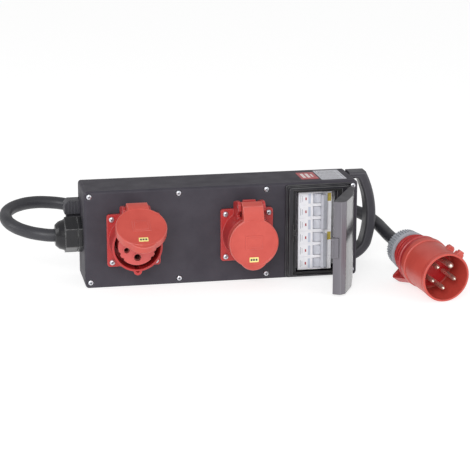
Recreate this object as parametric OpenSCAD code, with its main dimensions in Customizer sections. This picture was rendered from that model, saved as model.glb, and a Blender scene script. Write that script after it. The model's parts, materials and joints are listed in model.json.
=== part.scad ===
// Portable power distribution box: rubber-like enclosure with two five-pole
// sockets, two three-pole breakers behind a hinged window, and a supply lead.
// Millimetres, +Z up, +X along the box to its handle, -Y to the socket side.
// The origin is the centre of the flat underside.

/* [Enclosure] */
// Length of the enclosure along X
body_l = 365; // [340:1:400]
// Depth of the enclosure along Y
body_d = 76; // [70:1:90]
// Height of the enclosure along Z
body_h = 129; // [120:1:140]
// Wall thickness of the rear housing
wall = 3.5; // [2.5:0.1:5]
// Radius of the long outer edges
edge_r = 4; // [4:0.5:12]

/* [Sockets] */
// X of the left socket's axis
sock_l = -119; // [-125:1:-110]
// X of the right socket's axis
sock_r = 31; // [20:1:40]
// Height of both socket axes
sock_z = 64; // [58:0.5:70]
// Side of the square flange
flange = 70; // [66:1:76]
// Spacing of the flange screws
flange_pitch = 57.5; // [52:0.5:60]
// Reach of the collar in front of the cover
collar_len = 42; // [30:1:50]
// How far the left lid stands open, degrees
lid_open = 57; // [0:1:100]

/* [Window] */
// Centre of the breaker window along X
win_x = 124.5; // [118:0.5:130]
// How far the window cover stands open, degrees
cover_open = 62; // [0:1:100]
// How far the window frame stands out of the cover
frame_out = 12; // [8:0.5:16]

/* [Supply] */
// Outer diameter of the supply cable
cable_d = 17; // [14:0.5:20]
// Outer diameter of the plug's front collar
plug_d = 64; // [58:0.5:70]
// Overall length of the plug
plug_l = 133; // [131:1:150]

/* [Output] */
// One sub-part, or all of them

/* [Hidden] */
$fn = 64;
yf = -body_d/2;              // front face of the cover
yb = body_d/2;               // back of the housing
ycov = yf + 5.5;             // back of the front cover
ygas = ycov + 1.5;           // back of the cover gasket
hl = body_l/2;
screw_x = [-175.5, -58.5, 58.5, 175.5];
screw_z = [7, 122];
hinge_y = -71;               // lid hinge axis
hinge_z = 44.5;              // above the socket axis
whx = 170;                   // window hinge axis
why = -52.5;
gl_y = -3;                   // gland axis
gl_z = 64.5;
tog_x = 130;                 // breaker toggle axis
tog_y = -31;
pole = 17.7;
brk_u = 88.75;               // centre heights of the two breakers
brk_l = 35.6;
plug_heading = -81.6;
plug_tilt = 3.5;
plug_tail = [240.737, -54.161, 40.152];
// supply lead route: gland, loop, behind the box, round the handle, into the plug
route = [
 [-218,-3,64.5],[-238.5,0.5,66.3],[-256.5,11,69],[-270,27,72.2],[-277,46.5,75.4],
 [-277,67.5,78.2],[-270,87,80.2],[-256.5,103,81.4],[-238.5,113.5,81.6],[-218,117.5,80.2],
 [-190,116.5,76],[-150,112,65],[-105,106,49],[-60,100.5,34],[-20,97,24],
 [20,94.5,19.5],[60,93,21.5],[100,92,31],[130,91.2,42],[156,89.5,51.5],
 [180,86,57.8],[201.8,75,59.8],[218.8,57,56],[228.8,35,50.5],[232.6,13,46.3],
 [234.6,-8,43.4],[236.8,-27.5,41.8],[240.737,-54.161,40.152],[243.945,-75.884,38.809]];

// ---- helpers -------------------------------------------------------------
module rr(w,h,r){ square([w-2*r,h],center=true); square([w,h-2*r],center=true);
  for(x=[-1,1],z=[-1,1]) translate([x*(w/2-r),z*(h/2-r)]) circle(r); }
// extrude a drawing made in X and Z from y0 to y1
module ext_y(y0,y1){ translate([0,y1,0]) rotate([90,0,0]) linear_extrude(y1-y0) children(); }
// extrude a drawing made in Y and Z from x0 to x1
module ext_x(x0,x1){ translate([x0,0,0]) rotate([90,0,90]) linear_extrude(x1-x0) children(); }
module cyl_y(x,z,y0,y1,r){ translate([x,y1,z]) rotate([90,0,0]) cylinder(r=r,h=y1-y0); }
module cyl_x(y,z,x0,x1,r){ translate([x0,y,z]) rotate([0,90,0]) cylinder(r=r,h=x1-x0); }
module cone_x(y,z,x0,x1,r0,r1){ translate([x0,y,z]) rotate([0,90,0]) cylinder(r1=r0,r2=r1,h=x1-x0); }
module box(a,b){ translate(a) cube(b-a); }
module hex2(af){ intersection_for(k=[0:2]) rotate(k*60) square([af,3*af],center=true); }
module at_screws(){ for(x=screw_x,z=screw_z) translate([x,0,z]) children(); }
// outline of the whole enclosure with its rounded long edges
module shell_form(y0,y1){
  intersection(){
    ext_y(y0,y1) translate([0,body_h/2]) rr(body_l,body_h,5);
    union(){ box([-hl,y0-1,0],[hl,yb-edge_r,body_h]); box([-hl,y0-1,0],[hl,yb+1,body_h-edge_r]);
      cyl_x(yb-edge_r,body_h-edge_r,-hl,hl,edge_r); }
    union(){ box([-hl+edge_r,y0-1,0],[hl-edge_r,yb+1,body_h]); box([-hl,y0-1,0],[hl,yb-edge_r,body_h]);
      for(s=[-1,1]) translate([s*(hl-edge_r),yb-edge_r,0]) cylinder(r=edge_r,h=body_h); }
    union(){ box([-hl,yf+4,0],[hl,yb+1,body_h]); box([-hl+4,yf,0],[hl-4,yb+1,body_h]);
      for(s=[-1,1]) translate([s*(hl-4),yf+4,0]) cylinder(r=4,h=body_h); }
    union(){ box([-hl,yf+4,0],[hl,yb+1,body_h]); box([-hl,yf,0],[hl,yb+1,body_h-4]);
      cyl_x(yf+4,body_h-4,-hl,hl,4); }
  }
}

// ---- enclosure -----------------------------------------------------------
module rear_housing(){ color([0.25,0.25,0.27]) difference(){
  union(){
    difference(){ shell_form(ygas,yb);
      box([-hl+wall,ygas-1,wall],[hl-wall,yb-wall,body_h-wall]); }
    intersection(){ shell_form(ygas,yb);
      at_screws() cyl_y(0,0,ygas,yb-wall+0.5,5); }
  }
  at_screws() cyl_y(0,0,ygas-1,-11,2);
  cyl_x(gl_y,gl_z,-hl-1,-hl+wall+1,16.1);
  for(y=[11.5,25.5],z=[107,28]) cyl_x(y,z,hl-wall-1,hl+1,2.1);
  for(z=[24,104]) cyl_y(win_x,z,30,36.2,1.95);
}}
module front_cover(){ color([0.27,0.27,0.29]) difference(){
  shell_form(yf,ycov);
  for(x=[sock_l,sock_r]) cyl_y(x,sock_z,yf-1,ycov+1,28.5);
  for(x=[sock_l,sock_r],i=[-1,1],j=[-1,1])
    cyl_y(x+i*flange_pitch/2,sock_z+j*flange_pitch/2,yf-1,ycov+1,1.95);
  box([97,yf-1,5],[152,ycov+1,119.5]);
  at_screws(){ cyl_y(0,0,yf-1,yf+2.6,4.2); cyl_y(0,0,yf,ycov+1,2.2); }
}}
module cover_gasket(){ color([0.1,0.1,0.1]) difference(){
  ext_y(ycov,ygas) translate([0,body_h/2]) rr(body_l-2,body_h-2,4.5);
  difference(){ box([-hl+wall,ycov-1,wall],[hl-wall,ygas+1,body_h-wall]);
    at_screws() cyl_y(0,0,ycov-2,ygas+2,5); }
  at_screws() cyl_y(0,0,ycov-1,ygas+1,2.2);
}}
module cover_screws(){ color([0.8,0.8,0.82]) at_screws() difference(){
  union(){ cyl_y(0,0,yf+0.3,yf+2.6,3.5); cyl_y(0,0,yf+2,-13,1.95); }
  box([-2.2,yf-1,-0.4],[2.2,yf+1.3,0.4]); box([-0.4,yf-1,-2.2],[0.4,yf+1.3,2.2]);
}}
// outline of the handle's bow in X and Z, inset from its outside by d
module bow(d){ intersection(){
  translate([85.2,68]) circle(r=135.5-d,$fn=180);
  union(){ translate([170,87.75-d*0.66]) rr(120,83.5,d>0?8:12);
    translate([176.5,46]) circle(r=42.3-d*0.95,$fn=120); translate([182,46]) square([30,40]); }
  translate([hl-2,-5]) square([60,140]); } }
module carry_handle(){ color([0.18,0.18,0.19]) difference(){
  union(){
    ext_y(6,31) difference(){ bow(0); bow(13.3); translate([hl-3,-6]) square([3,142]); }
    for(z=[98,14]) ext_x(hl,hl+3.5) translate([18.5,z+12]) rr(25,26,3);
  }
  for(y=[11.5,25.5],z=[107,28]) cyl_x(y,z,hl-1,hl+5,2);
}}
module handle_screws(){ color([0.8,0.8,0.82]) for(y=[11.5,25.5],z=[107,28]) difference(){
  union(){ cyl_x(y,z,hl-wall-2.8,hl-wall,3.6); cyl_x(y,z,hl-wall-1,hl+3.4,1.95); }
  translate([hl-wall-2.9,y,z]) rotate([0,90,0]) linear_extrude(1.6) hex2(2.5);
}}
module cable_bracket(){ color([0.22,0.22,0.24]) difference(){
  union(){
    ext_y(12,34) polygon([[-hl,88],[-203,88],[-203,101],[-198,106],[-hl,106]]);
    ext_y(22.5,34) polygon([[-hl,68],[-197,68],[-200,71],[-200,89],[-hl,89]]);
  }
  for(x=[-199,-195,-191,-187]) box([x-0.6,11,87],[x+0.6,12.9,107]);
  for(y=[16,20,24,28]) box([-204,y-0.6,87],[-202.1,y+0.6,107]);
}}

// ---- window and breakers -------------------------------------------------
module window_frame(){ color([0.23,0.23,0.25]) difference(){
  union(){
    ext_y(yf-4,yf) translate([128,64]) rr(89,126,4);
    ext_y(yf-frame_out,yf-3) translate([126.25,64]) rr(79.5,121,4);
    for(z=[[5,11.7],[116.3,123]]) { translate([whx,why,z[0]]) cylinder(r=3.2,h=z[1]-z[0]);
      box([166.4,why,z[0]],[173.2,yf-3,z[1]]); }
  }
  box([97,yf-frame_out-1,5],[152,yf+1,119.5]);
  box([92,yf-frame_out-1,6.5],[158,yf-frame_out+4,121]);
  translate([whx,why,4]) cylinder(r=1.55,h=120);
  at_screws() cyl_y(0,0,yf-14,yf+1,5.2);
}}
module window_seal(){ color([0.08,0.08,0.08]) ext_y(yf-frame_out+2.2,yf-frame_out+4) difference(){
  translate([125,63.75]) rr(65.8,114.3,0.5); translate([125,63.75]) square([61,109],center=true); } }
module cover_tray(){
  difference(){
    union(){
      translate([0,0,2]) linear_extrude(123) polygon([[-4,2],[-4,-3.2],[-9,-5.6],[-50,-13.4],
        [-84,-13.4],[-91,-8.6],[-91,2]]);
      translate([0,0,12]) cylinder(r=3.2,h=104);
      translate([-4.6,-2,12]) cube([4.6,4,104]);
    }
    translate([0,0,4.5]) linear_extrude(118) polygon([[-6.4,3],[-6.4,-2],[-10,-3.6],[-50,-11.2],
      [-83.3,-11.2],[-88.7,-7.5],[-88.7,3]]);
    translate([0,0,11]) cylinder(r=1.57,h=106);
    translate([-93.7,-5.9,50.5]) cube([3.2,12,27]);
  }
}
module window_cover(){ color([0.5,0.5,0.55,0.6]) translate([whx,why,0]) rotate([0,0,cover_open]) cover_tray(); }
module window_latch(){ color([0.12,0.12,0.13]) translate([whx,why,0]) rotate([0,0,cover_open])
  { translate([-93,-5.4,51]) cube([2.5,8.9,26]); translate([-94.4,1.4,51]) cube([1.6,2.1,26]); } }
module window_hinge_pin(){ color([0.75,0.75,0.77]) translate([whx,why,5.2]) cylinder(r=1.5,h=117.6); }
module din_rail(){ color([0.75,0.76,0.78]) difference(){ translate([0,0,4]) linear_extrude(120) union(){
    translate([107,27]) square([5.2,1]); translate([136.8,27]) square([5.2,1]);
    translate([111.2,27]) square([1,7.5]); translate([136.8,27]) square([1,7.5]);
    translate([111.2,33.5]) square([26.6,1]); }
  for(z=[24,104]) cyl_y(win_x,z,30,36,2.1); } }
module rail_screws(){ color([0.8,0.8,0.82]) for(z=[24,104]) difference(){
  union(){ cyl_y(win_x,z,30.9,33.5,3.6); cyl_y(win_x,z,33,36.1,1.9); }
  cyl_y(win_x,z,30.8,32,1.4); } }
module breaker(zc){ color([0.92,0.92,0.93]) difference(){
  union(){
    box([82,-14,zc-26.5],[167,27,zc+26.5]);
    box([102,-36.4,zc-26.5],[147,-13,zc+26.5]);
    for(k=[-1,0,1]) box([102.6,-36.9,zc+k*pole-8.3],[119,-36,zc+k*pole+8.3]);
  }
  for(k=[-1,0,1]) { box([121.5,-38,zc+k*pole-7],[138.5,-33,zc+k*pole+7]);
    translate([tog_x,tog_y,zc+k*pole-7]) cylinder(r=7.1,h=14);
    for(x=[88,161]) cyl_y(x,zc+k*pole,-15,-4,2.6);
    box([81,0,zc+k*pole-4.5],[92,10,zc+k*pole+4.5]); box([157,0,zc+k*pole-4.5],[168,10,zc+k*pole+4.5]); }
  for(k=[-0.5,0.5]) { box([101,-37.5,zc+k*pole-0.2],[148,-35.9,zc+k*pole+0.2]); }
}}
module breaker_upper(){ breaker(brk_u); }
module breaker_lower(){ breaker(brk_l); }
module toggle(zc){ color([0.55,0.56,0.6]) translate([tog_x,tog_y,zc]) rotate([0,0,30]) union(){
  for(k=[-1,0,1]) translate([0,0,k*pole]) { translate([0,0,-6.4]) cylinder(r=6.6,h=12.8);
    translate([-3,-13.5,-5]) cube([6,10,10]); }
  translate([-3.6,-14,-23.5]) cube([7.2,4.6,47]); } }
module breaker_upper_toggle(){ toggle(brk_u); }
module breaker_lower_toggle(){ toggle(brk_l); }
module breaker_tags(){ color([0.8,0.7,0.2]) for(zc=[brk_u,brk_l])
  box([141.5,-36.8,zc+13.5],[146.4,-36.4,zc+24.5]); }
module terminal_screws(){ color([0.8,0.8,0.82]) for(zc=[brk_u,brk_l],k=[-1,0,1],x=[88,161])
  difference(){ cyl_y(x,zc+k*pole,-9,-4,2.5); cyl_y(x,zc+k*pole,-10,-7.5,1.2); } }
module terminal_block(){ color([0.85,0.85,0.82]) difference(){
  box([-78,18,88],[-12,yb-wall,108]);
  for(k=[0:4]) { cyl_y(-70+12.5*k,98,15,28,3); translate([-70+12.5*k,25,87]) cylinder(r=2.4,h=22); }
}}

// ---- sockets -------------------------------------------------------------
module collar2(r){ circle(r); translate([0,-r-0.2]) circle(5.4); }
module socket_housing(x){ color([0.75,0.2,0.17]) translate([x,0,sock_z]) difference(){
  union(){
    ext_y(yf-6,yf-1) rr(flange,flange,4);
    ext_y(yf-collar_len,yf-5) { circle(32.5); translate([0,-32.4]) circle(5.4); }
    ext_y(yf-1,0) circle(27.5);
    for(s=[-1,1]) ext_x(s*16-2,s*16+2) polygon([[yf-5,27.2],[yf-5,45],[-62,50.6],[-72,51],
      [-77,48],[-77,40],[-68,33],[-68,27.2]]);
    box([-14.5,-62,30.5],[14.5,yf-5,44]);
    box([-9,-62,43],[8,-57.5,50.5]);
  }
  ext_y(yf-collar_len-1,yf-8) { circle(30); translate([0,-31.2]) circle(3); }
  ext_y(yf-9,1) circle(24.8);
  for(i=[-1,1],j=[-1,1]) cyl_y(i*flange_pitch/2,j*flange_pitch/2,yf-7,yf,2.2);
  cyl_x(hinge_y,hinge_z,-19,19,2.05);
}}
module contact_insert(x){ color([0.8,0.35,0.3]) translate([x,0,sock_z]) difference(){
  ext_y(yf-collar_len+2,-1) difference(){ circle(24.7);
    for(a=[60,120,-140,-40,200,-20]) rotate(a) translate([25.4,0]) circle(2.2); }
  for(k=[0:4]) rotate([0,-72*k,0]) cyl_y(0,-14.5,yf-collar_len,0,k==0?4.6:3.6);
}}
module contacts(x){ color([0.75,0.7,0.5]) translate([x,0,sock_z]) for(k=[0:4]) rotate([0,-72*k,0])
  difference(){ cyl_y(0,-14.5,yf-collar_len+5,-3.5,k==0?4.5:3.5);
    cyl_y(0,-14.5,yf-collar_len,-20,k==0?3.6:2.6); } }
module flange_gasket(x){ color([0.1,0.1,0.1]) translate([x,0,sock_z]) difference(){
  ext_y(yf-1,yf) rr(flange-0.6,flange-0.6,4); ext_y(yf-2,yf+1) circle(27.6);
  for(i=[-1,1],j=[-1,1]) cyl_y(i*flange_pitch/2,j*flange_pitch/2,yf-2,yf+1,2.2); } }
module flange_screws(x){ color([0.82,0.82,0.84]) translate([x,0,sock_z])
  for(i=[-1,1],j=[-1,1]) translate([i*flange_pitch/2,0,j*flange_pitch/2]) difference(){
    union(){ cyl_y(0,0,yf-8.2,yf-6,3.5); cyl_y(0,0,yf-7,-33.5,1.9); }
    box([-2.2,yf-9,-0.4],[2.2,yf-7.2,0.4]); box([-0.4,yf-9,-2.2],[0.4,yf-7.2,2.2]); } }
module lid_form(){
  difference(){
    union(){
      ext_y(-91,-80.4) { circle(32.5); translate([0,-16.5]) circle(20); }
      ext_x(-13.6,13.6) polygon([[-91,18],[-91,33],[-84.5,47.5],[-76,50.8],[-71,51],[-65.2,47],
        [-65.2,42],[-69,38.2],[-76,38],[-80.4,33],[-80.4,18]]);
    }
    ext_y(-88.5,-79) { circle(30.2); translate([0,-16.6]) circle(17.6); }
    cyl_x(hinge_y,hinge_z,-20,20,2.05);
  }
}
module lid_at(x,ang){ translate([x,hinge_y,sock_z+hinge_z]) rotate([-ang,0,0])
  translate([0,-hinge_y,-hinge_z]) children(); }
module lid(x,ang){ color([0.85,0.3,0.27]) lid_at(x,ang) lid_form(); }
module lid_seal(x,ang){ color([0.1,0.1,0.1]) lid_at(x,ang) ext_y(-88.5,-82.5) difference(){
  circle(30.1); circle(27.2); } }
module lid_label(x,ang){ color([0.95,0.85,0.3]) lid_at(x,ang) ext_y(-91.3,-91) translate([0,-22]) rr(12,6.6,0.8); }
module hinge_pin(x){ color([0.75,0.75,0.77]) cyl_x(hinge_y,sock_z+hinge_z,x-17.8,x+17.8,2); }
module left_socket_housing(){ socket_housing(sock_l); }
module left_contact_insert(){ contact_insert(sock_l); }
module left_contacts(){ contacts(sock_l); }
module left_flange_gasket(){ flange_gasket(sock_l); }
module left_flange_screws(){ flange_screws(sock_l); }
module left_lid(){ lid(sock_l,lid_open); }
module left_lid_seal(){ lid_seal(sock_l,lid_open); }
module left_hinge_pin(){ hinge_pin(sock_l); }
module left_lid_label(){ lid_label(sock_l,lid_open); }
module right_socket_housing(){ socket_housing(sock_r); }
module right_contact_insert(){ contact_insert(sock_r); }
module right_contacts(){ contacts(sock_r); }
module right_flange_gasket(){ flange_gasket(sock_r); }
module right_flange_screws(){ flange_screws(sock_r); }
module right_lid(){ lid(sock_r,0); }
module right_lid_seal(){ lid_seal(sock_r,0); }
module right_hinge_pin(){ hinge_pin(sock_r); }
module right_lid_label(){ lid_label(sock_r,0); }

// ---- gland and lead ------------------------------------------------------
module gland_hex(x0,x1,af){ translate([0,gl_y,gl_z]) ext_x(x0,x1) hex2(af); }
module gland_body(){ color([0.15,0.15,0.16]) difference(){
  union(){ gland_hex(-189,-hl,42); cyl_x(gl_y,gl_z,-hl-1,-168,15.9); cyl_x(gl_y,gl_z,-200,-188,15.9); }
  cyl_x(gl_y,gl_z,-201,-167,8.7); } }
module gland_locknut(){ color([0.15,0.15,0.16]) difference(){ gland_hex(-hl+wall,-172.5,41);
  cyl_x(gl_y,gl_z,-180,-171,15.95); } }
module gland_seal(){ color([0.06,0.06,0.06]) difference(){ cyl_x(gl_y,gl_z,-211,-200,13.8);
  cyl_x(gl_y,gl_z,-212,-199,8.6); } }
module gland_nut(){ color([0.16,0.16,0.17]) difference(){
  union(){ gland_hex(-205.5,-189.3,42); cone_x(gl_y,gl_z,-213,-205.5,18,20.5);
    cone_x(gl_y,gl_z,-218,-213,13.5,18); }
  cyl_x(gl_y,gl_z,-211.2,-189,14); cyl_x(gl_y,gl_z,-200.2,-189,16); cyl_x(gl_y,gl_z,-219,-210,8.7); } }
module cable_tail(){ color([0.12,0.12,0.12]) cyl_x(gl_y,gl_z,-218,-158,8.5); }
function unit(v) = v/norm(v);
function tang(p,i) = unit(p[min(i+1,len(p)-1)]-p[max(i-1,0)]);
function bez(p,i,t) = let(a=p[max(i-1,0)],b=p[i],c=p[i+1],d=p[min(i+2,len(p)-1)])
  0.5*((2*b)+(c-a)*t+(2*a-5*b+4*c-d)*t*t+(3*b-a-3*c+d)*t*t*t);
function ring_at(c,t,r,n) = let(u=unit(cross([0,0,1],t)),v=cross(t,u))
  [for(k=[0:n-1]) c+r*(cos(360*k/n)*u+sin(360*k/n)*v)];
module tube(p,r,n){
  m=len(p);
  t=[for(i=[0:m-1]) i==0?[-1,0,0]:(i==m-1?unit([cos(plug_heading)*cos(plug_tilt),sin(plug_heading)*cos(plug_tilt),-sin(plug_tilt)]):tang(p,i))];
  pts=[for(i=[0:m-1]) each ring_at(p[i],t[i],r,n)];
  sides=[for(i=[0:m-2],k=[0:n-1]) [i*n+k,(i+1)*n+k,(i+1)*n+(k+1)%n,i*n+(k+1)%n]];
  polyhedron(points=pts,faces=concat([[for(k=[0:n-1]) k]],sides,[[for(k=[n-1:-1:0]) (m-1)*n+k]]),convexity=8);
}
module supply_cable(){ color([0.12,0.12,0.12]) tube(route,cable_d/2,12); }

// ---- plug, drawn along +X from its tail ----------------------------------
module plug_at(){ translate(plug_tail) rotate([0,plug_tilt,plug_heading]) children(); }
module plug_nut(){ color([0.6,0.62,0.65]) plug_at() difference(){
  union(){ cone_x(0,0,0,6,19,25); cone_x(0,0,6,27,25,27); }
  cyl_x(0,0,12,28,21); cyl_x(0,0,-1,13,8.6); } }
module plug_seal(){ color([0.06,0.06,0.06]) plug_at() difference(){ cyl_x(0,0,13,24,20); cyl_x(0,0,12,25,8.6); } }
module plug_housing(){ color([0.75,0.2,0.17]) plug_at() difference(){
  union(){
    cyl_x(0,0,24,30,20.8); cone_x(0,0,30,40,23.5,27); cyl_x(0,0,40,48,27); cone_x(0,0,48,54,27,30);
    cone_x(0,0,54,69,30,32); cyl_x(0,0,56,59,32);
    rotate([-36,0,0]) ext_y(-6,6) polygon([[36,-20],[32.5,-38],[35.5,-41],[40,-40],[64,-32.5],[66,-20]]);
  }
  cyl_x(0,0,23,70,19); cyl_x(0,0,50,70,26);
  rotate([-36,0,0]) ext_y(-7,7) polygon([[38.5,-29.5],[36.8,-36.6],[39.5,-36.9],[53.5,-32.6],[54.5,-31.5]]); } }
module plug_collar(){ color([0.78,0.2,0.17]) plug_at() difference(){
  union(){ cone_x(0,0,69,77,33.5,33); cyl_x(0,0,77,129,31.6); cyl_x(0,0,127,plug_l,plug_d/2);
    rotate([-36,0,0]) { ext_x(97,104) polygon([[-6,29.6],[-4.4,36],[4.4,36],[6,29.6]]);
      ext_x(121,130) polygon([[-6,29.6],[-4.4,36],[4.4,36],[6,29.6]]); } }
  cyl_x(0,0,86,plug_l+1,29.4); cyl_x(0,0,68,87,26);
  rotate([-36,0,0]) box([91,-2.6,27],[plug_l+1,2.6,30.6]); } }
module plug_insert(){ color([0.6,0.1,0.1]) plug_at() difference(){
  union(){ cyl_x(0,0,51,89,25.8); cyl_x(0,0,89,92,20); }
  for(k=[0:4]) rotate([72*k,0,0]) cyl_x(0,-16,50,93,k==2?3.45:2.55); } }
module plug_pins(){ color([0.85,0.83,0.75]) plug_at() for(k=[0:4]) rotate([72*k,0,0])
  { cyl_x(0,-16,52,94,k==2?3.4:2.5); cyl_x(0,-16,93,125,k==2?4:3);
    translate([125,0,-16]) sphere(k==2?4:3,$fn=32); } }

// ---- labels --------------------------------------------------------------
module type_label(){ color([0.75,0.15,0.15]) box([110,-20,body_h],[134,19,body_h+0.3]); }
module rating_label(){ color([0.8,0.8,0.82]) box([136,-26,body_h],[170,28,body_h+0.3]); }

rear_housing();
front_cover();
cover_gasket();
cover_screws();
carry_handle();
handle_screws();
cable_bracket();
window_frame();
window_seal();
window_cover();
window_hinge_pin();
window_latch();
din_rail();
rail_screws();
breaker_upper();
breaker_lower();
breaker_upper_toggle();
breaker_lower_toggle();
breaker_tags();
terminal_screws();
terminal_block();
left_socket_housing();
left_contact_insert();
left_contacts();
left_flange_gasket();
left_flange_screws();
left_lid();
left_lid_seal();
left_hinge_pin();
left_lid_label();
right_socket_housing();
right_contact_insert();
right_contacts();
right_flange_gasket();
right_flange_screws();
right_lid();
right_lid_seal();
right_hinge_pin();
right_lid_label();
gland_body();
gland_locknut();
gland_seal();
gland_nut();
cable_tail();
supply_cable();
plug_housing();
plug_collar();
plug_insert();
plug_pins();
plug_nut();
plug_seal();
type_label();
rating_label();
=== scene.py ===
"""Looks for the portable power distribution box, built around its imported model.

Lengths inside the forms are millimetres; every mesh is scaled to metres when it
becomes an object.  X runs along the box to its handle, -Y is the socket side.
"""

import json
import logging
import math
from collections.abc import Callable, Iterable
from dataclasses import dataclass, field
from enum import Enum
from typing import Any

import bmesh
import bpy
from mathutils import Matrix, Vector


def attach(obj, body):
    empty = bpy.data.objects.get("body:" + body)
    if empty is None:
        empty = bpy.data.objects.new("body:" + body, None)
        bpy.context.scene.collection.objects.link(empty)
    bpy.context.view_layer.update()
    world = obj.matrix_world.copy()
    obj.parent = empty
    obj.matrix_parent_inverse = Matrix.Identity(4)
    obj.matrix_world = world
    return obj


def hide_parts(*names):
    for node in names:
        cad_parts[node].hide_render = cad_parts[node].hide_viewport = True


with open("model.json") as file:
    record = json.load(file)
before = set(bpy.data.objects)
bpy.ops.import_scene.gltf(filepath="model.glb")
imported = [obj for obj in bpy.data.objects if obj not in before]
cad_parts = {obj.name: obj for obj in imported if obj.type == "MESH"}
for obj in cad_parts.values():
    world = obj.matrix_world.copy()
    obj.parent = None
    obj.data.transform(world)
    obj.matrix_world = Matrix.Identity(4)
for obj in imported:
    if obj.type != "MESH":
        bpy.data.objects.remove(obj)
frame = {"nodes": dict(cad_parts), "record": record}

MM = 0.001
log = logging.getLogger("distribution_box")
RGBA = tuple[float, float, float, float]
Point = tuple[float, float, float]
BODY_OF = {
    node: body
    for body, nodes in frame["record"]["behaviour"]["bodies"].items()
    for node in nodes
}


def linear(red: int, green: int, blue: int) -> RGBA:
    """Turns an 8-bit screen colour into a linear one.

    Args:
        red: Red from 0 to 255.
        green: Green from 0 to 255.
        blue: Blue from 0 to 255.

    Returns:
        The linear colour, opaque.
    """
    values = [
        c / 12.92 if c <= 0.04045 else ((c + 0.055) / 1.055) ** 2.4
        for c in (v / 255 for v in (red, green, blue))
    ]
    return (values[0], values[1], values[2], 1.0)


# --------------------------------------------------------------------- finishes
@dataclass(frozen=True)
class Finish:
    """One material: two near colours, a roughness that wanders, and a relief."""

    slot: str
    colour: RGBA
    shade: RGBA
    roughness: float = 0.45
    wander: float = 0.08
    blotch: float = 70.0
    grain: float = 1400.0
    relief: float = 0.00003
    metallic: float = 0.0
    coat: float = 0.0
    specular: float = 0.5
    transmission: float = 0.0
    # How far the bevel strips are lightened: partly rubbed edges, partly painted
    # highlight along the edges.
    edge: float = 0.10
    along: Point = (1.0, 1.0, 1.0)

    def material(self, name: str) -> bpy.types.Material:
        """Builds the node material.

        Args:
            name: The material's name.

        Returns:
            The material.
        """
        material = bpy.data.materials.new(name)
        material.use_nodes = True
        tree = material.node_tree
        shader = tree.nodes["Principled BSDF"]
        shader.inputs["Metallic"].default_value = self.metallic
        shader.inputs["Coat Weight"].default_value = self.coat
        shader.inputs["Coat Roughness"].default_value = 0.12
        shader.inputs["Specular IOR Level"].default_value = self.specular
        shader.inputs["Transmission Weight"].default_value = self.transmission
        shader.inputs["IOR"].default_value = 1.49
        place = tree.nodes.new("ShaderNodeTexCoord")
        mapping = tree.nodes.new("ShaderNodeMapping")
        mapping.inputs["Scale"].default_value = self.along
        tree.links.new(place.outputs["Object"], mapping.inputs["Vector"])
        cloud = self._noise(tree, mapping, self.blotch, 4.0)
        fine = self._noise(tree, mapping, self.grain, 3.0)
        mix = tree.nodes.new("ShaderNodeMix")
        mix.data_type = "RGBA"
        mix.inputs["A"].default_value = self.colour
        mix.inputs["B"].default_value = self.shade
        share = self._spread(tree, cloud, 0.3, 0.7, 0.0, 1.0)
        tree.links.new(share, mix.inputs["Factor"])
        # Bevel strips are lightened towards pale grey in patches: partly rubbed edges,
        # partly painted highlight along the edges.
        strip = tree.nodes.new("ShaderNodeAttribute")
        strip.attribute_name = "edge_strip"
        wear_and_highlight = tree.nodes.new("ShaderNodeMath")
        wear_and_highlight.operation = "MULTIPLY"
        tree.links.new(strip.outputs["Fac"], wear_and_highlight.inputs[0])
        wear_and_highlight_share = self._spread(tree, cloud, 0.25, 0.75, 0.0, self.edge)
        tree.links.new(wear_and_highlight_share, wear_and_highlight.inputs[1])
        lighter = tree.nodes.new("ShaderNodeMix")
        lighter.data_type = "RGBA"
        lighter.inputs["B"].default_value = (0.9, 0.9, 0.9, 1.0)
        tree.links.new(wear_and_highlight.outputs[0], lighter.inputs["Factor"])
        tree.links.new(mix.outputs["Result"], lighter.inputs["A"])
        tree.links.new(lighter.outputs["Result"], shader.inputs["Base Color"])
        low, high = self.roughness - self.wander, self.roughness + self.wander
        tree.links.new(
            self._spread(tree, cloud, 0.3, 0.7, low, high), shader.inputs["Roughness"]
        )
        bump = tree.nodes.new("ShaderNodeBump")
        bump.inputs["Strength"].default_value = 1.0
        bump.inputs["Distance"].default_value = self.relief
        tree.links.new(fine, bump.inputs["Height"])
        tree.links.new(bump.outputs["Normal"], shader.inputs["Normal"])
        return material

    @staticmethod
    def _noise(
        tree: bpy.types.NodeTree, mapping: bpy.types.Node, scale: float, detail: float
    ) -> bpy.types.NodeSocket:
        """Adds a noise texture.

        Args:
            tree: The material's nodes.
            mapping: The node that places the pattern.
            scale: Noise cells per metre.
            detail: Octaves.

        Returns:
            The noise value's socket.
        """
        noise = tree.nodes.new("ShaderNodeTexNoise")
        noise.inputs["Scale"].default_value = scale
        noise.inputs["Detail"].default_value = detail
        tree.links.new(mapping.outputs["Vector"], noise.inputs["Vector"])
        return noise.outputs["Fac"]

    @staticmethod
    def _spread(
        tree: bpy.types.NodeTree,
        value: bpy.types.NodeSocket,
        from_low: float,
        from_high: float,
        low: float,
        high: float,
    ) -> bpy.types.NodeSocket:
        """Spreads a value from one range to another.

        Args:
            tree: The material's nodes.
            value: The socket to read.
            from_low: Lowest value read.
            from_high: Highest value read.
            low: What the lowest becomes.
            high: What the highest becomes.

        Returns:
            The spread value's socket.
        """
        node = tree.nodes.new("ShaderNodeMapRange")
        node.inputs["From Min"].default_value = from_low
        node.inputs["From Max"].default_value = from_high
        node.inputs["To Min"].default_value = low
        node.inputs["To Max"].default_value = high
        tree.links.new(value, node.inputs["Value"])
        return node.outputs["Result"]


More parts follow.
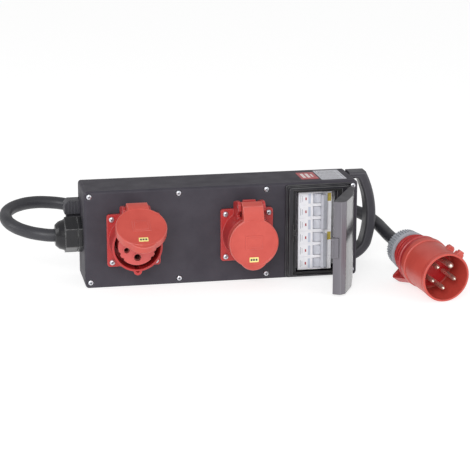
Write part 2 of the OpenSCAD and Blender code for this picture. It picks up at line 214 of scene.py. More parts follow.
class Dress(Enum):
    """Every finish of the box, by the part it is for."""

    RUBBER = Finish(
        "rubber", linear(62, 59, 67), linear(55, 52, 60),
        roughness=0.56, wander=0.05, blotch=45, grain=1500, relief=0.00005,
        specular=0.3, edge=0.06,
    )
    SEAL = Finish(
        "seal_rubber", linear(28, 28, 29), linear(20, 20, 21),
        roughness=0.7, wander=0.08,
    )
    ZINC = Finish(
        "zinc_steel", linear(220, 221, 226), linear(200, 202, 210),
        roughness=0.36, wander=0.08, blotch=180, grain=2200, relief=0.00001,
        metallic=0.8, along=(1.0, 1.0, 6.0),
    )
    # Painted shade: the dark crosses on the screw heads stand in for their shaded cross
    # recesses.
    RECESS = Finish(
        "zinc_steel", linear(52, 52, 57), linear(40, 40, 45),
        roughness=0.6, wander=0.08, blotch=180, grain=2200, relief=0.00001,
    )
    HANDLE = Finish(
        "handle_plastic", linear(64, 63, 69), linear(55, 54, 60),
        roughness=0.44, wander=0.06, blotch=60, grain=1300, relief=0.00005,
        specular=0.4, edge=0.05,
    )
    FRAME = Finish(
        "frame_plastic", linear(38, 37, 42), linear(31, 30, 35),
        roughness=0.34, wander=0.06, blotch=60, grain=1500, relief=0.00003, edge=0.12,
    )
    # Noise stretched along Z lays light and dark vertical streaks on the smoked face:
    # painted reflection.
    SMOKE = Finish(
        "smoked_cover", linear(98, 94, 101), linear(66, 63, 70),
        roughness=0.24, wander=0.06, blotch=40, grain=900, relief=0.00002, coat=0.4,
        transmission=0.5, edge=0.2, along=(1.0, 1.0, 0.1),
    )
    COVER_CAP = Finish(
        "smoked_cover", linear(52, 50, 56), linear(44, 43, 48),
        roughness=0.45, wander=0.06, blotch=60, grain=1400, relief=0.00003,
    )
    COVER_LIP = Finish(
        "smoked_cover", linear(112, 109, 116), linear(92, 89, 96),
        roughness=0.3, wander=0.06, blotch=60, grain=1400, relief=0.00002, coat=0.3,
        along=(1.0, 1.0, 0.1),
    )
    BREAKER = Finish(
        "breaker_white", linear(248, 247, 250), linear(241, 241, 246),
        roughness=0.4, wander=0.05, blotch=90, grain=1800, relief=0.00002, edge=0.2,
    )
    TOGGLE = Finish(
        "toggle_grey", linear(206, 208, 216), linear(194, 196, 205),
        roughness=0.42, wander=0.06, blotch=200, grain=1800,
    )
    PRINT_GREY = Finish(
        "breaker_white", linear(132, 135, 146), linear(120, 123, 134),
        roughness=0.45,
    )
    TAG = Finish(
        "tag_yellow", linear(196, 176, 84), linear(178, 158, 70),
        roughness=0.4, wander=0.06, blotch=300,
    )
    TERMINAL = Finish(
        "terminal_white", linear(206, 204, 196), linear(190, 188, 180),
        roughness=0.5,
    )
    GLAND = Finish(
        "gland_plastic", linear(23, 23, 27), linear(17, 17, 20),
        roughness=0.24, wander=0.06, blotch=90, grain=1500, relief=0.00003, edge=0.16,
    )
    CABLE = Finish(
        "cable_rubber", linear(54, 54, 59), linear(45, 45, 50),
        roughness=0.44, wander=0.07, blotch=40, grain=900, relief=0.00006,
    )
    SOCKET = Finish(
        "socket_red", linear(180, 47, 46), linear(170, 39, 39),
        roughness=0.42, wander=0.06, blotch=60, grain=1600, relief=0.00002, coat=0.1,
    )
    CORE = Finish(
        "insert_pink", linear(208, 92, 88), linear(198, 80, 78),
        roughness=0.45, wander=0.05, blotch=90, grain=1600, relief=0.00002,
    )
    PLUG_CORE = Finish(
        "insert_red", linear(190, 24, 30), linear(176, 18, 24),
        roughness=0.42, wander=0.06, blotch=90, grain=1600, relief=0.00002,
    )
    CONTACT = Finish(
        "contact_metal", linear(240, 234, 222), linear(226, 218, 204),
        roughness=0.3, wander=0.07, blotch=250, grain=2200, relief=0.00001,
        metallic=0.88, along=(1.0, 5.0, 1.0),
    )
    # Painted shade: the contact sleeves deep in the socket holes are dark red-brown,
    # standing in for the holes' shade tinted by the red insert.
    SLEEVE = Finish(
        "contact_metal", linear(150, 84, 76), linear(120, 64, 58),
        roughness=0.5, wander=0.07, blotch=250, grain=2200, relief=0.00001,
    )
    LID = Finish(
        "lid_red", linear(193, 76, 65), linear(184, 67, 57),
        roughness=0.42, wander=0.05, blotch=60, grain=1600, relief=0.00002, coat=0.08,
    )
    NUT = Finish(
        "nut_grey", linear(178, 181, 188), linear(162, 166, 173),
        roughness=0.42, wander=0.06, blotch=90, grain=1600, relief=0.00003, edge=0.3,
    )
    LABEL_RED = Finish(
        "label_red", linear(178, 30, 42), linear(168, 24, 36),
        roughness=0.34, wander=0.05, blotch=120, grain=1500, relief=0.00001, coat=0.2,
    )
    LABEL_SILVER = Finish(
        "label_silver", linear(212, 212, 218), linear(200, 200, 207),
        roughness=0.38, wander=0.07, blotch=120, grain=2400, relief=0.00001,
        metallic=0.15, along=(6.0, 1.0, 1.0),
    )
    PRINT_DARK = Finish(
        "label_silver", linear(70, 71, 76), linear(60, 61, 66),
        roughness=0.45,
    )
    PRINT_PALE = Finish(
        "label_red", linear(232, 222, 220), linear(224, 212, 210),
        roughness=0.4,
    )
    LABEL_YELLOW = Finish(
        "tag_yellow", linear(236, 220, 142), linear(228, 210, 128),
        roughness=0.38, wander=0.05, blotch=200, coat=0.1,
    )
    MARK_RED = Finish(
        "socket_red", linear(176, 44, 54), linear(166, 36, 46),
        roughness=0.45,
    )
    BREAKER_BLUE = Finish(
        "breaker_white", linear(206, 212, 226), linear(196, 203, 219),
        roughness=0.4, wander=0.05, blotch=120,
    )

    def made(self) -> bpy.types.Material:
        """Returns this finish's material, made on first use."""
        name = f"finish_{self.name.lower()}"
        return bpy.data.materials.get(name) or self.value.material(name)


# ------------------------------------------------------------------------ forms
def turned(axis: str, degrees: float) -> Matrix:
    """Returns a rotation about one axis, from degrees."""
    return Matrix.Rotation(math.radians(degrees), 4, axis)


def moved(x: float, y: float, z: float) -> Matrix:
    """Returns a move by three lengths."""
    return Matrix.Translation((x, y, z))


class Form:
    """A piece in the making: one bmesh in millimetres and what shapes it."""

    def __init__(self, *nodes: str) -> None:
        """Starts empty, or from copies of CAD nodes.

        Args:
            nodes: CAD nodes whose meshes are copied in and merged.
        """
        self.bm = bmesh.new()
        for node in nodes:
            self.bm.from_mesh(frame["nodes"][node].data)
        if nodes:
            bmesh.ops.remove_doubles(self.bm, verts=self.bm.verts, dist=0.000002)
            bmesh.ops.scale(self.bm, vec=(1 / MM,) * 3, verts=self.bm.verts)
            bmesh.ops.dissolve_limit(
                self.bm,
                angle_limit=math.radians(0.6),
                verts=self.bm.verts,
                edges=self.bm.edges,
            )
            for face in self.bm.faces:
                face.material_index = 0
        self.strip = self.bm.faces.layers.float.new("edge_strip")

    def soften(
        self,
        width: float,
        angle: float = 30.0,
        segments: int = 2,
        where: Callable[[Vector], bool] | None = None,
    ) -> "Form":
        """Rounds the edges that turn more sharply than an angle.

        Args:
            width: Size of the rounding.
            angle: Smallest turn that is rounded, in degrees.
            segments: Steps across the rounding.
            where: Tells from an edge's middle whether it is rounded.

        Returns:
            The form.
        """
        limit = math.radians(angle)
        edges = [
            e
            for e in self.bm.edges
            if len(e.link_faces) == 2
            and e.calc_face_angle(0.0) > limit
            and (where is None or where((e.verts[0].co + e.verts[1].co) / 2))
        ]
        if edges:
            made = bmesh.ops.bevel(
                self.bm,
                geom=edges,
                offset=width,
                offset_type="OFFSET",
                affect="EDGES",
                segments=segments,
                profile=0.5,
                material=-1,
                clamp_overlap=False,
            )
            for face in made["faces"]:
                face[self.strip] = 1.0
        return self

    def _fresh(self, made: dict[str, Any], place: Matrix, round_by: float) -> None:
        """Places and rounds geometry that an operator has just made.

        Args:
            made: The operator's result.
            place: Where the geometry goes.
            round_by: Size of the rounding of its sharp edges.
        """
        verts = made["verts"]
        bmesh.ops.transform(self.bm, matrix=place, verts=verts)
        if round_by <= 0:
            return
        edges = {
            e
            for v in verts
            for e in v.link_edges
            if len(e.link_faces) == 2 and e.calc_face_angle(0.0) > math.radians(35)
        }
        result = bmesh.ops.bevel(
            self.bm,
            geom=list(edges),
            offset=round_by,
            offset_type="OFFSET",
            affect="EDGES",
            segments=2,
            profile=0.5,
            material=-1,
            clamp_overlap=True,
        )
        for face in result["faces"]:
            face[self.strip] = 1.0

    def block(
        self,
        low: Point,
        high: Point,
        place: Matrix | None = None,
        round_by: float = 0.0,
    ) -> "Form":
        """Adds a block between two corners.

        Args:
            low: Lowest corner.
            high: Highest corner.
            place: Where the block is then moved.
            round_by: Size of its edge rounding.

        Returns:
            The form.
        """
        a, b = Vector(low), Vector(high)
        made = bmesh.ops.create_cube(self.bm, size=1.0)
        size = Matrix.Diagonal((*(b - a), 1.0))
        self._fresh(
            made, (place or Matrix()) @ Matrix.Translation((a + b) / 2) @ size, round_by
        )
        return self

    def lathe(
        self,
        profile: Iterable[tuple[float, float]],
        place: Matrix,
        steps: int = 96,
        closed: bool = False,
    ) -> "Form":
        """Spins an outline of lengths and radii round the placed X axis.

        Args:
            profile: Pairs of length along the axis and radius.
            place: Where the axis starts and how it is turned.
            steps: Steps of the turn.
            closed: Whether the outline joins its own start.

        Returns:
            The form.
        """
        verts = [self.bm.verts.new((along, 0.0, radius)) for along, radius in profile]
        pairs = list(zip(verts, verts[1:]))
        if closed:
            pairs.append((verts[-1], verts[0]))
        edges = [self.bm.edges.new(pair) for pair in pairs]
        before = set(self.bm.verts) - set(verts)
        bmesh.ops.spin(
            self.bm,
            geom=verts + edges,
            cent=(0, 0, 0),
            axis=(1, 0, 0),
            angle=math.tau,
            steps=steps,
            use_merge=True,
        )
        fresh = [v for v in self.bm.verts if v not in before]
        bmesh.ops.remove_doubles(self.bm, verts=fresh, dist=0.0005)
        fresh = [v for v in self.bm.verts if v not in before]
        faces = list({f for v in fresh for f in v.link_faces})
        bmesh.ops.recalc_face_normals(self.bm, faces=faces)
        bmesh.ops.transform(self.bm, matrix=place, verts=fresh)
        return self

    def paint(self, index: int, which: Callable[[bmesh.types.BMFace], bool]) -> "Form":
        """Gives some faces another material slot.

        Args:
            index: The slot's number.
            which: Tells whether a face takes it.

        Returns:
            The form.
        """
        for face in self.bm.faces:
            if which(face):
                face.material_index = index
        return self

    def piece(
        self,
        name: str,
        dress: Dress | list[Dress],
        body: str,
        replaces: Iterable[str] = (),
    ) -> bpy.types.Object:
        """Turns the form into a finished piece that rides on a body.

        Args:
            name: The piece's name.
            dress: Its finish, or one for each material slot.
            body: The CAD body that it rides on.
            replaces: CAD nodes that it stands for.

        Returns:
            The piece.
        """
        bmesh.ops.scale(self.bm, vec=(MM,) * 3, verts=self.bm.verts)
        mesh = bpy.data.meshes.new(name)
        self.bm.to_mesh(mesh)
        self.bm.free()
        for one in dress if isinstance(dress, list) else [dress]:
            mesh.materials.append(one.made())
        mesh.polygons.foreach_set("use_smooth", [True] * len(mesh.polygons))
        mesh.set_sharp_from_angle(angle=math.radians(50))
        piece = bpy.data.objects.new(name, mesh)
        bpy.context.scene.collection.objects.link(piece)
        shading = piece.modifiers.new("even_shading", "WEIGHTED_NORMAL")
        shading.mode = "FACE_AREA_WITH_ANGLE"
        shading.weight = 80
        shading.keep_sharp = True
        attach(piece, body)
        if replaces:
            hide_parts(*replaces)
        log.info("piece %s: %d faces", name, len(mesh.polygons))
        return piece


def softened(
    node: str, dress: Dress, width: float, angle: float = 30.0
) -> bpy.types.Object:
    """Replaces a CAD node with its own shape with rounded edges and a finish.

    Args:
        node: The CAD node.
        dress: Its finish.
        width: Size of the rounding.
        angle: Smallest turn that is rounded, in degrees.

    Returns:
        The piece.
    """
    form = Form(node).soften(width, angle)
    return form.piece(f"{node}_moulded", dress, BODY_OF[node], [node])


def dressed(node: str, dress: Dress) -> bpy.types.Object:
    """Gives a CAD node that stays as it is its finish.

    Args:
        node: The CAD node.
        dress: Its finish.

    Returns:
        The node's object.
    """
    thing = frame["nodes"][node]
    thing.data.materials.clear()
    thing.data.materials.append(dress.made())
    log.info("node %s keeps its shape", node)
    return thing


def screws(node: str, front: float, spots: Iterable[tuple[float, float]]) -> None:
    """Replaces screws that face -Y with domed ones, each with a dark cross of painted
    shade standing in for its shaded recess.

    Args:
        node: The CAD node.
        front: Y of the heads' flat fronts.
        spots: X and Z of each screw.
    """
    heads = Form(node)
    slot_shade = Form()
    for index, (x, z) in enumerate(spots):
        place = moved(x, front, z) @ turned("Z", -90)
        heads.lathe(
            [(-0.3, 0), (-0.3, 3.3), (0.0, 3.5), (0.45, 3.4), (1.0, 2.75), (1.35, 1.7),
             (1.45, 0)],
            place, 32,
        )
        # Each dark cross is painted shade in place of the shaded recess.
        for turn in (0, 90):
            cross = place @ turned("X", 25 + 40 * index + turn)
            slot_shade.block((0.9, -0.45, -1.9), (1.5, 0.45, 1.9), cross, 0.1)
    heads.piece(f"{node}_turned", Dress.ZINC, BODY_OF[node], [node])
    slot_shade.piece(f"{node}_slots", Dress.RECESS, BODY_OF[node])


# ---------------------------------------------------------------- sub-assemblies
@dataclass
class Studio:
    """Camera, lights, floor and world."""

    eye: Point = (-0.3975, -2.164, 0.638)
    azimuth: float = 11.01
    elevation: float = 14.89
    lens: float = 130.2
    floor_side: float = 14.0

    def camera(self) -> None:
        """Makes the camera at the picture's viewing angle."""
        data = bpy.data.cameras.new("studio_camera")
        data.lens = self.lens
        data.sensor_width = 36.0
        data.clip_end = 40.0
        camera = bpy.data.objects.new("studio_camera", data)
        azimuth, elevation = math.radians(self.azimuth), math.radians(self.elevation)
        look = Vector(
            (
                math.sin(azimuth) * math.cos(elevation),
                math.cos(azimuth) * math.cos(elevation),
                -math.sin(elevation),
            )
        )
        camera.location = self.eye
        camera.rotation_euler = look.to_track_quat("-Z", "Y").to_euler()
        bpy.context.scene.collection.objects.link(camera)
        bpy.context.scene.camera = camera

    def _lamp(
        self, name: str, place: Point, towards: Point, side: float, power: float
    ) -> None:
        """Adds a soft square lamp.

        Args:
            name: The lamp's name.
            place: Where it is.
            towards: The point that it faces.
            side: Side of the square.
            power: Watts.
        """
        data = bpy.data.lights.new(name, "AREA")
        data.shape = "SQUARE"
        data.size = side
        data.energy = power
        lamp = bpy.data.objects.new(name, data)
        lamp.location = place
        aim = Vector(towards) - Vector(place)
        lamp.rotation_euler = aim.to_track_quat("-Z", "Y").to_euler()
        bpy.context.scene.collection.objects.link(lamp)

    def light(self) -> None:
        """Adds the lamps and the pale surroundings."""
        self._lamp("key_lamp", (-0.8, -2.5, 1.3), (0, 0, 0.06), 1.2, 44.0)
        self._lamp("side_lamp", (-2.2, 0.2, 0.9), (-0.1, 0, 0.08), 1.0, 7.0)
        self._lamp("fill_lamp", (1.6, -2.0, 0.9), (0.1, 0, 0.06), 1.6, 12.0)
        world = bpy.data.worlds.new("pale_surroundings")
        world.use_nodes = True
        background = world.node_tree.nodes["Background"]
        background.inputs["Color"].default_value = (1.0, 1.0, 1.0, 1.0)
        background.inputs["Strength"].default_value = 0.55
        bpy.context.scene.world = world
        bpy.context.scene.view_settings.view_transform = "Standard"

    def floor(self) -> None:
        """Lays the pale floor just under the box."""
        bm = bmesh.new()
        bmesh.ops.create_grid(bm, x_segments=2, y_segments=2, size=self.floor_side / 2)
        bmesh.ops.translate(bm, vec=(0, 0, -0.0003), verts=bm.verts)
        mesh = bpy.data.meshes.new("studio_floor")
        bm.to_mesh(mesh)
        bm.free()
        material = bpy.data.materials.new("pale_floor")
        material.use_nodes = True
        shader = material.node_tree.nodes["Principled BSDF"]
        shader.inputs["Base Color"].default_value = (0.42, 0.42, 0.42, 1.0)
        shader.inputs["Emission Color"].default_value = (1.0, 1.0, 1.0, 1.0)
        shader.inputs["Emission Strength"].default_value = 0.72
        shader.inputs["Roughness"].default_value = 0.9
        shader.inputs["Specular IOR Level"].default_value = 0.1
        mesh.materials.append(material)
        floor = bpy.data.objects.new("studio_floor", mesh)
        bpy.context.scene.collection.objects.link(floor)


@dataclass
class SupplyLead:
    """The lead from the gland round the back of the box to its plug."""

    diameter: float = 17.0
    length: float = 0.79
    heading: float = -81.6
    tilt: float = 3.5
    exit: Point = (-218.0, -3.0, 64.5)
    route: tuple[Point, ...] = (
        (-218, -3, 64.5), (-238.5, 0.5, 66.3), (-256.5, 11, 69), (-270, 27, 72.2),
        (-277, 46.5, 75.4), (-277, 67.5, 78.2), (-270, 87, 80.2), (-256.5, 103, 81.4),
        (-238.5, 113.5, 81.6), (-218, 117.5, 80.2), (-190, 116.5, 76), (-150, 112, 65),
        (-105, 106, 49), (-60, 100.5, 34), (-20, 97, 24), (20, 94.5, 19.5),
        (60, 93, 21.5), (100, 92, 31), (130, 91.2, 42), (156, 89.5, 51.5),
        (180, 86, 57.8), (201.8, 75, 59.8), (218.8, 57, 56), (228.8, 35, 50.5),
        (232.6, 13, 46.3), (234.6, -8, 43.4), (236.8, -27.5, 41.8),
        (240.737, -54.161, 40.152), (243.945, -75.884, 38.809),
    )

    def build(self) -> bpy.types.Object:
        """Draws the lead as one open curve.

        Returns:
            The lead.
        """
        curve = bpy.data.curves.new("supply_lead", "CURVE")
        curve.dimensions = "3D"
        curve.bevel_depth = self.diameter / 2 * MM
        curve.bevel_resolution = 7
        curve.resolution_u = 10
        curve.use_fill_caps = True
        spline = curve.splines.new("BEZIER")
        spline.bezier_points.add(len(self.route) - 1)
        for knot, point in zip(spline.bezier_points, self.route):
            knot.co = Vector(point) * MM
            knot.handle_left_type = knot.handle_right_type = "AUTO"
        lead = bpy.data.objects.new("supply_lead", curve)
        bpy.context.scene.collection.objects.link(lead)
        bpy.context.view_layer.update()
        start, end = spline.bezier_points[0], spline.bezier_points[-1]
        start.handle_left_type = start.handle_right_type = "FREE"
        start.handle_right = start.co + Vector((-0.007, 0, 0))
        start.handle_left = start.co + Vector((0.007, 0, 0))
        flat = math.cos(math.radians(self.tilt))
        out = Vector(
            (
                math.cos(math.radians(self.heading)) * flat,
                math.sin(math.radians(self.heading)) * flat,
                -math.sin(math.radians(self.tilt)),
            )
        )
        end.handle_left_type = end.handle_right_type = "FREE"
        end.handle_left = end.co - out * 0.007
        end.handle_right = end.co + out * 0.007
        curve.materials.append(Dress.CABLE.made())
        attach(lead, "enclosure")
        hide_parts("supply_cable")
        log.info("piece %s", lead.name)
        return lead


@dataclass
class Plug:
    """The five-pin plug on the lead's end, drawn along X from its tail."""

    tail: Point = (240.737, -54.161, 40.152)
    heading: float = -81.6
    tilt: float = 3.5
    nut_ribs: int = 44
    pin_circle: float = 16.0
    earth: int = 2
    key_turn: float = -36.0
    key_nubs: tuple[tuple[float, float], ...] = ((100.5, 37.6), (126.0, 39.0))
    pieces: list[bpy.types.Object] = field(default_factory=list)

    @property
    def at(self) -> Matrix:
        """Returns where the plug's own axes lie on the box's."""
        return moved(*self.tail) @ turned("Z", self.heading) @ turned("Y", self.tilt)

    def _keep(self, piece: bpy.types.Object) -> None:
        """Adds a piece to those that the lead carries."""
        self.pieces.append(piece)

    def nut(self) -> None:
        """Builds the ribbed grey gland nut and its rims."""
        form = Form()
        outline = [
            (0, 9.2), (0, 17.8), (0.8, 18.8), (4.0, 22.4), (5.4, 23.6), (7.4, 24.2),
            (22.0, 25.4), (22.8, 26.7), (26.2, 27.0), (27.0, 26.4), (27.0, 21.2),
            (12.5, 21.2), (12.5, 9.2),
        ]
        form.lathe(outline, self.at, closed=True)
        for index in range(self.nut_ribs):
            turn = turned("X", 360 * index / self.nut_ribs)
            lean = turned("Y", -4.6)
            form.block(
                (0, -0.9, -0.6), (15.4, 0.9, 1.2),
                self.at @ turn @ moved(6.4, 0, 24.0) @ lean, 0.3,
            )
        self._keep(form.piece("plug_nut_ribbed", Dress.NUT, "enclosure", ["plug_nut"]))

    def shell(self) -> None:
        """Builds the red housing, its ear and the collar."""
        housing = Form("plug_housing").soften(0.7, 24.0)
        for along, radius in ((31.5, 24.3), (35.5, 25.6), (39.5, 26.8), (45.5, 27.0)):
            housing.lathe(
                [(along - 1.1, radius - 1.4), (along - 1.1, radius + 0.5),
                 (along - 0.4, radius + 1.2), (along + 0.4, radius + 1.2),
                 (along + 1.1, radius + 0.4), (along + 1.1, radius - 1.4)],
                self.at, closed=True,
            )
        housing.lathe(
            [(29.0, 20.4), (29.0, 21.6), (30.4, 21.6), (30.4, 20.4)],
            self.at,
            closed=True,
        )
        self._keep(
            housing.piece(
                "plug_housing_moulded", Dress.SOCKET, "enclosure", ["plug_housing"]
            )
        )
        collar = Form("plug_collar").soften(0.6, 30.0)
        collar.lathe(
            [(128.6, 31.4), (129.4, 32.1), (132.2, 32.1), (133.1, 31.5), (133.1, 29.5),
             (129.0, 29.5)],
            self.at, closed=True,
        )
        for along, rise in self.key_nubs:
            place = self.at @ turned("X", self.key_turn) @ moved(along, 0, 0)
            collar.block((-3.6, -3.8, 31.5), (3.6, 3.8, rise), place, 1.4)
        self._keep(
            collar.piece("plug_collar_moulded", Dress.LID, "enclosure", ["plug_collar"])
        )

    def inside(self) -> None:
        """Builds the pin carrier with its bosses, and the pins."""
        carrier = Form("plug_insert").soften(0.5, 30.0)
        for index in range(5):
            place = self.at @ turned("X", 72 * index) @ moved(92.0, 0, -self.pin_circle)
            radius = 4.05 if index == self.earth else 3.05
            carrier.lathe(
                [(-0.4, radius + 0.15), (-0.4, radius + 1.9), (0.7, radius + 1.9),
                 (1.1, radius + 1.5), (1.1, radius + 0.15)],
                place, 32, closed=True,
            )
        self._keep(
            carrier.piece(
                "plug_insert_moulded", Dress.PLUG_CORE, "enclosure", ["plug_insert"]
            )
        )
        pins = Form()
        for index in range(5):
            radius = 4.0 if index == self.earth else 3.0
            place = self.at @ turned("X", 72 * index) @ moved(0, 0, -self.pin_circle)
            pins.lathe(
                [(53, 0), (53, radius - 0.7), (92.4, radius - 0.7), (92.4, radius),
                 (123.5, radius), (125.6, radius * 0.9), (127.2, radius * 0.66),
                 (128.2, radius * 0.3), (128.4, 0)],
                place, 32,
            )
        self._keep(
            pins.piece("plug_pins_turned", Dress.CONTACT, "enclosure", ["plug_pins"])
        )
        self._keep(dressed("plug_seal", Dress.SEAL))

    def build(self) -> list[bpy.types.Object]:
        """Builds the plug.

        Returns:
            Its pieces.
        """
        self.nut()
        self.shell()
        self.inside()
        return self.pieces


@dataclass
class Gland:
    """The gland where the lead enters the box's left end."""

    axis_y: float = -3.0
    axis_z: float = 64.5
    ribs: int = 36

    def build(self) -> None:
        """Builds the gland's body, domed nut and inner parts."""
        softened("gland_body", Dress.GLAND, 0.6)
        nut = Form("gland_nut").soften(0.7, 26.0)
        at = moved(0, self.axis_y, self.axis_z)
        for index in range(self.ribs):
            nut.block(
                (-206.4, -0.55, 19.4), (-204.6, 0.55, 20.9),
                at @ turned("X", 360 * index / self.ribs), 0.2,
            )
        nut.piece("gland_nut_domed", Dress.GLAND, "enclosure", ["gland_nut"])
        dressed("gland_locknut", Dress.GLAND)
        dressed("gland_seal", Dress.SEAL)
        dressed("cable_tail", Dress.CABLE)


@dataclass
class Enclosure:
    """The rubber box with its cover, screws, handle, bracket and labels."""

    depth_front: float = 6.0
    depth_back: float = 31.0
    handle_round: float = 3.2
    foot_reach: float = 187.5
    screw_x: tuple[float, ...] = (-175.5, -58.5, 58.5, 175.5)
    screw_z: tuple[float, ...] = (7.0, 122.0)
    screw_front: float = -37.7
    top: float = 129.3

    def shell(self) -> None:
        """Builds the housing, cover, gasket and screws."""
        softened("rear_housing", Dress.RUBBER, 0.7)
        softened("front_cover", Dress.RUBBER, 0.7)
        dressed("cover_gasket", Dress.SEAL)
        spots = [(x, z) for x in self.screw_x for z in self.screw_z]
        screws("cover_screws", self.screw_front, spots)
        softened("handle_screws", Dress.ZINC, 0.15)
        softened("cable_bracket", Dress.HANDLE, 0.4)

    def handle(self) -> None:
        """Builds the rounded carrying bow."""
        low, high = self.depth_front, self.depth_back

        def rim(middle: Vector) -> bool:
            """Tells whether an edge lies on the bow's front or back outline."""
            side = abs(middle.y - low) < 0.05 or abs(middle.y - high) < 0.05
            return side and middle.x > self.foot_reach

        form = Form("carry_handle").soften(self.handle_round, 30.0, 4, rim)
        form.piece("carry_handle_rounded", Dress.HANDLE, "enclosure", ["carry_handle"])

    def labels(self) -> None:
        """Builds the two labels on the top with neutral bars in place of print."""
        softened("type_label", Dress.LABEL_RED, 0.1)
        softened("rating_label", Dress.LABEL_SILVER, 0.1)
        z0, z1 = self.top - 0.05, self.top + 0.12
        bars = Form()
        for x0, x1, y0, y1 in (
            (114, 118, -12, 11), (120.5, 124.5, -12, 11), (127, 129.4, -8, 7),
        ):
            bars.block((x0, y0, z0), (x1, y1, z1), round_by=0.04)
        bars.piece("type_label_bars", Dress.PRINT_PALE, "enclosure")
        rules = Form()
        for x in (138.5, 144.5, 150.5, 156.5, 162.5, 167.5):
            rules.block((x - 0.15, -23.5, z0), (x + 0.15, 25.5, z1))
        for y in (-23.5, -8.0, 8.0, 25.2):
            rules.block((138.5, y, z0), (167.5, y + 0.3, z1))
        for row in range(4):
            for start, length in ((-20.5, 7.0), (-5.0, 6.0), (11.0, 8.5)):
                x = 141.0 + 6 * row
                rules.block((x, start, z0), (x + 0.8, start + length, z1))
        rules.piece("rating_label_rules", Dress.PRINT_DARK, "enclosure")

    def build(self) -> None:
        """Builds the enclosure."""
        self.shell()
        self.handle()
        self.labels()


@dataclass
class Socket:
    """One five-pole socket with its hinged lid."""

    side: str
    x: float
    lid_open: float
    z: float = 64.0
    front: float = -80.0
    core_front: float = -78.0
    hinge_y: float = -71.0
    hinge_rise: float = 44.5
    contact_circle: float = 14.5
    screw_pitch: float = 57.5
    screw_front: float = -46.2

    @property
    def lid_body(self) -> str:
        """Returns the lid's CAD body."""
        return f"{self.side}_lid_assembly"

    @property
    def facing(self) -> Matrix:
        """Returns the socket's axis, with the form's X pointing out of the box."""
        return moved(self.x, 0, self.z) @ turned("Z", -90)

    @property
    def lid_place(self) -> Matrix:
        """Returns where a lid drawn closed on the origin's axis goes."""
        return (
            moved(self.x, self.hinge_y, self.z + self.hinge_rise)
            @ turned("X", -self.lid_open)
            @ moved(0, -self.hinge_y, -self.hinge_rise)
        )

    def housing(self) -> None:
        """Builds the flanged housing with its rim."""
        node = f"{self.side}_socket_housing"
        form = Form(node).soften(0.6)
        reach = -self.front
        form.lathe(
            [(reach - 1.4, 29.9), (reach - 0.5, 29.9), (reach + 0.1, 30.5),
             (reach + 0.1, 31.9), (reach - 0.5, 32.6), (reach - 2.4, 32.6),
             (reach - 2.4, 31.0)],
            self.facing, closed=True,
        )
        form.piece(f"{node}_moulded", Dress.SOCKET, "enclosure", [node])

    def core(self) -> None:
        """Builds the contact carrier with a raised ring round each hole."""
        node = f"{self.side}_contact_insert"
        form = Form(node).soften(0.4)
        reach = -self.core_front
        for index in range(5):
            radius = 4.6 if index == 0 else 3.6
            turn = turned("X", 72 * index)
            place = self.facing @ turn @ moved(0, 0, -self.contact_circle)
            form.lathe(
                [(reach - 1.0, radius + 0.1), (reach + 0.5, radius + 0.1),
                 (reach + 0.8, radius + 0.5), (reach + 0.8, radius + 1.4),
                 (reach + 0.3, radius + 1.9), (reach - 1.0, radius + 1.9)],
                place, 40, closed=True,
            )
        form.piece(f"{node}_moulded", Dress.CORE, "enclosure", [node])
        # The contact sleeves take dark red-brown painted shade for the insides of the
        # holes.
        dressed(f"{self.side}_contacts", Dress.SLEEVE)

    def fixings(self) -> None:
        """Builds the gasket, the flange screws and the hinge pin."""
        dressed(f"{self.side}_flange_gasket", Dress.SEAL)
        half = self.screw_pitch / 2
        spots = [
            (self.x + i * half, self.z + j * half) for i in (-1, 1) for j in (-1, 1)
        ]
        screws(f"{self.side}_flange_screws", self.screw_front, spots)
        softened(f"{self.side}_hinge_pin", Dress.ZINC, 0.3)

    def lid(self) -> None:
        """Builds the lid with its rim, centre plate, seal and label."""
        node = f"{self.side}_lid"
        form = Form(node).soften(1.0)
        place = self.lid_place @ turned("Z", -90)
        form.lathe(
            [(90.4, 29.6), (91.1, 29.9), (91.5, 30.5), (91.5, 31.0), (91.0, 31.6),
             (90.4, 31.6)],
            place, closed=True,
        )
        form.block((-11.5, -91.7, -8), (11.5, -90.5, 10), self.lid_place, 0.5)
        form.block((-8.8, -92.1, -5.4), (8.8, -91.4, 7.4), self.lid_place, 0.35)
        form.piece(f"{node}_moulded", Dress.LID, self.lid_body, [node])
        dressed(f"{self.side}_lid_seal", Dress.SEAL)
        label = f"{self.side}_lid_label"
        softened(label, Dress.LABEL_YELLOW, 0.12)
        print_marks = Form()
        for x0, x1 in ((-4.6, -2.2), (-1.4, 1.0), (2.0, 4.4)):
            print_marks.block((x0, -91.38, -23.4), (x1, -91.25, -20.6), self.lid_place)
        print_marks.piece(f"{label}_marks", Dress.PRINT_DARK, self.lid_body)

    def build(self) -> None:
        """Builds the socket."""
        self.housing()
        self.core()
        self.fixings()
        self.lid()


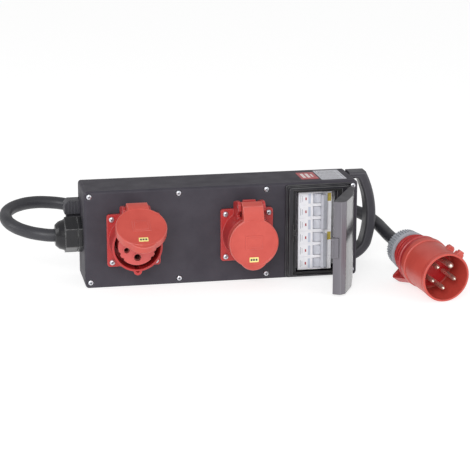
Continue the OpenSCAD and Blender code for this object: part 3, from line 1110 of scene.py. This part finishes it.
@dataclass
class BreakerWindow:
    """The window frame, its smoked cover and the two breakers behind it."""

    hinge: Point = (170.0, -52.5, 0.0)
    open_by: float = 62.0
    pole: float = 17.7
    centres: tuple[float, float] = (88.75, 35.6)

    @property
    def cover_place(self) -> Matrix:
        """Returns where a cover drawn on its hinge axis goes."""
        return moved(*self.hinge) @ turned("Z", self.open_by)

    def frame(self) -> None:
        """Builds the frame, its seal and the hinge pin."""
        softened("window_frame", Dress.FRAME, 0.6)
        dressed("window_seal", Dress.SEAL)
        dressed("window_hinge_pin", Dress.ZINC)
        keeper = Form()
        keeper.block((90.6, -52.6, 52), (92.6, -47.2, 76), round_by=0.4)
        keeper.block((91.2, -51.6, 60), (94.6, -48.4, 68), round_by=0.5)
        keeper.piece("window_keeper", Dress.GLAND, "enclosure")

    def cover(self) -> None:
        """Builds the smoked cover with its matt caps, painted reflection streaks and
        latch.
        """
        form = Form("window_cover").soften(0.5)
        back = self.cover_place.inverted()

        def cap(face: bmesh.types.BMFace) -> bool:
            """Tells whether a face belongs to the matt caps or the hinge side."""
            middle = back @ face.calc_center_median()
            return middle.z < 4.4 or middle.z > 122.6 or middle.x > -10.5

        def lip(face: bmesh.types.BMFace) -> bool:
            """Tells whether a face belongs to the free edge."""
            middle = back @ face.calc_center_median()
            return middle.x < -84.2 and not cap(face)

        form.paint(1, cap)
        form.paint(2, lip)
        form.piece(
            "window_cover_smoked", [Dress.SMOKE, Dress.COVER_CAP, Dress.COVER_LIP],
            "window_cover_assembly", ["window_cover"],
        )
        softened("window_latch", Dress.COVER_LIP, 0.3)

    def breakers(self) -> None:
        """Builds both breakers with their pole marks, toggles and tags."""
        for name, centre in zip(("breaker_upper", "breaker_lower"), self.centres):
            dressed(name, Dress.BREAKER)
            softened(f"{name}_toggle", Dress.TOGGLE, 0.5)
            marks = Form()
            lines = Form()
            panels = Form()
            for pole in (-1, 0, 1):
                z = centre + pole * self.pole
                marks.block(
                    (111.2, -37.15, z - 1.8), (113.0, -36.8, z + 1.8), round_by=0.1
                )
                lines.block((104.8, -37.05, z - 5.0), (105.3, -36.8, z + 5.0))
                lines.block((107.2, -37.05, z - 3.6), (107.6, -36.8, z + 3.6))
                panels.block(
                    (115.2, -37.05, z - 6.6), (118.6, -36.8, z + 6.6), round_by=0.1
                )
            marks.piece(f"{name}_marks", Dress.MARK_RED, "enclosure")
            lines.piece(f"{name}_rules", Dress.PRINT_GREY, "enclosure")
            panels.piece(f"{name}_panels", Dress.BREAKER_BLUE, "enclosure")
        softened("breaker_tags", Dress.TAG, 0.15)
        for node, dress in (
            ("terminal_screws", Dress.ZINC), ("din_rail", Dress.ZINC),
            ("rail_screws", Dress.ZINC), ("terminal_block", Dress.TERMINAL),
        ):
            dressed(node, dress)

    def build(self) -> None:
        """Builds the window."""
        self.frame()
        self.cover()
        self.breakers()


def main() -> None:
    """Builds the scene in order: camera, lead, then each sub-assembly."""
    logging.basicConfig(level=logging.INFO, format="%(name)s: %(message)s")
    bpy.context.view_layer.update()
    studio = Studio()
    studio.camera()
    lead = SupplyLead()
    line = lead.build()
    plug = Plug()
    plug.build()
    Gland().build()
    Enclosure().build()
    for socket in (Socket("left", -119.0, 57.0), Socket("right", 31.0, 0.0)):
        socket.build()
    BreakerWindow().build()
    studio.light()
    studio.floor()


if __name__ == "__main__":
    main()
